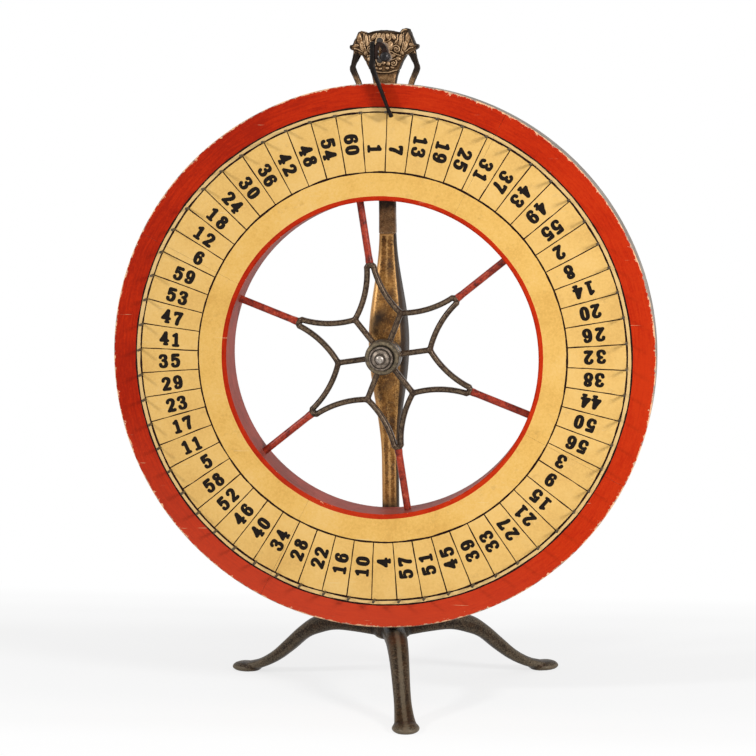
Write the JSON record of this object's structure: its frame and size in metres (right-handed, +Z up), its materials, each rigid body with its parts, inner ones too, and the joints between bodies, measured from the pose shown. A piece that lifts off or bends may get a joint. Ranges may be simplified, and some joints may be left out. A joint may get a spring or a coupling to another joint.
{
  "type": "prize wheel",
  "caption": "Tabletop prize wheel: numbered wooden rim with pegs on a star spider and ball-bearing hub, on an iron tripod stand with a leather flapper.",
  "frame": {"origin": "on the surface the stand rests on, at the middle of the whole wheel's bounding box; the axle's axis and the wheel's middle plane pass straight above it", "axes": "+Z up along the post; the numbered face looks along -Y; +X to the viewer's right when facing the numbers; the wheel turns about the Y direction"},
  "size_m": [0.614, 0.3474, 0.762],
  "materials": {
    "foot_iron": "rusty brown-black paint on cast iron",
    "steel": "dull worn steel",
    "dark_steel": "blackened steel",
    "bright_steel": "turned steel, worn bright",
    "bronzed_iron": "old gold bronze paint on cast iron",
    "hub_iron": "machined iron with an old patina",
    "spider_iron": "brown bronze paint on cast iron",
    "red_rod": "chipped red paint",
    "rim_paint": "painted wood, mustard with red edges",
    "rim_back_wood": "thinly painted wood",
    "peg_steel": "dark wire nails",
    "black_leather": "hard worn black leather"
  },
  "bodies": {
    "stand": {"tripod_base": "foot_iron", "base_washer": "steel", "base_nut": "dark_steel", "post": "bronzed_iron", "neck_pin": "dark_steel", "head_casting": "bronzed_iron", "pointer_bracket": "bronzed_iron", "bracket_screws": "dark_steel", "flapper_pivot_bolt": "dark_steel", "axle_stud": "bright_steel", "axle_rear_washer": "steel", "axle_rear_nut": "dark_steel", "rear_cone": "steel", "rear_locknut": "steel", "front_cone": "steel", "front_cone_nut": "bright_steel"},
    "wheel": {"hub_shell": "hub_iron", "hub_lock_ring": "hub_iron", "front_dust_cap": "bright_steel", "front_bearing_balls": "bright_steel", "rear_bearing_balls": "bright_steel", "spider": "spider_iron", "spoke_rods": "red_rod", "rim_front_1": "rim_paint", "rim_front_2": "rim_paint", "rim_front_3": "rim_paint", "rim_front_4": "rim_paint", "rim_back_1": "rim_back_wood", "rim_back_2": "rim_back_wood", "rim_back_3": "rim_back_wood", "rim_back_4": "rim_back_wood", "peg_pins": "peg_steel"},
    "flapper": {"flapper_boss": "dark_steel", "flapper_strap": "black_leather", "strap_rivets": "steel"}
  },
  "joints": [
    {"name": "wheel_spin", "type": "hinge", "parent": "stand", "child": "wheel", "pos_m": [0, 0, 0.393], "axis": [0, 1, 0], "continuous": true},
    {"name": "flapper_swing", "type": "hinge", "parent": "stand", "child": "flapper", "pos_m": [0.01, -0.034, 0.729], "axis": [0, -1, 0], "range_deg": [0, 18], "stiffness_Nm_per_rad": 0.06, "springref_deg": -8.59}
  ]
}
